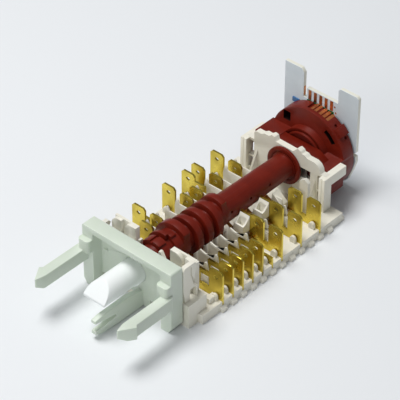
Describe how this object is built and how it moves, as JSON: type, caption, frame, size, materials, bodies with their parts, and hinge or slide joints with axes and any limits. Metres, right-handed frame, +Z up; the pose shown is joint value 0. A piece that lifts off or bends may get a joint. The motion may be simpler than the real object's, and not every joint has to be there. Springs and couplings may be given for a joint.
{
  "type": "rotary selector switch",
  "caption": "Rotary selector switch for an oven: D-shaped spindle, camshaft, two rows of push-on tabs, snap-in front bracket and a rear encoder board.",
  "frame": {"origin": "centre of the bounding box in X and Y, underside of the base in Z", "axes": "+X to the right seen from the spindle, +Y along the shaft from the spindle to the board, +Z up"},
  "size_m": [0.0526, 0.129, 0.0429],
  "materials": {
    "milky_nylon": "satin, slightly translucent",
    "white_plastic": "satin",
    "frame_plastic": "satin",
    "red_plastic": "satin",
    "brass": "stamped",
    "spring_bronze": "rolled",
    "contact_silver": "polished",
    "laminate": "solder mask",
    "copper": "etched",
    "blue_part": "glossy",
    "clip_steel": "plain"
  },
  "bodies": {
    "frame": {"base_frame": "frame_plastic", "board_capacitor": "blue_part", "board_fingers": "copper", "circuit_board": "laminate", "contact_spring_1": "spring_bronze", "contact_spring_2": "spring_bronze", "contact_spring_3": "spring_bronze", "contact_spring_4": "spring_bronze", "contact_spring_5": "spring_bronze", "contact_spring_6": "spring_bronze", "contact_spring_7": "spring_bronze", "earth_clip": "clip_steel", "encoder_leads": "copper", "fixed_contacts": "contact_silver", "front_bracket": "milky_nylon", "left_terminal_1": "brass", "left_terminal_2": "brass", "left_terminal_3": "brass", "left_terminal_4": "brass", "left_terminal_5": "brass", "left_terminal_6": "brass", "left_terminal_7": "brass", "left_terminal_8": "brass", "moving_contacts": "contact_silver", "rear_housing": "red_plastic", "right_terminal_1": "brass", "right_terminal_2": "brass", "right_terminal_3": "brass", "right_terminal_4": "brass", "right_terminal_5": "brass", "right_terminal_6": "brass", "right_terminal_7": "brass", "right_terminal_8": "brass", "right_terminal_9": "brass", "spring_rivets": "brass"},
    "shaft": {"spindle": "white_plastic", "camshaft": "red_plastic", "encoder_rotor": "white_plastic", "encoder_wiper": "spring_bronze"}
  },
  "joints": [
    {"name": "selector_turn", "type": "hinge", "parent": "frame", "child": "shaft", "pos_m": [0, 0, 0.0146], "axis": [0, 1, 0], "continuous": true}
  ]
}
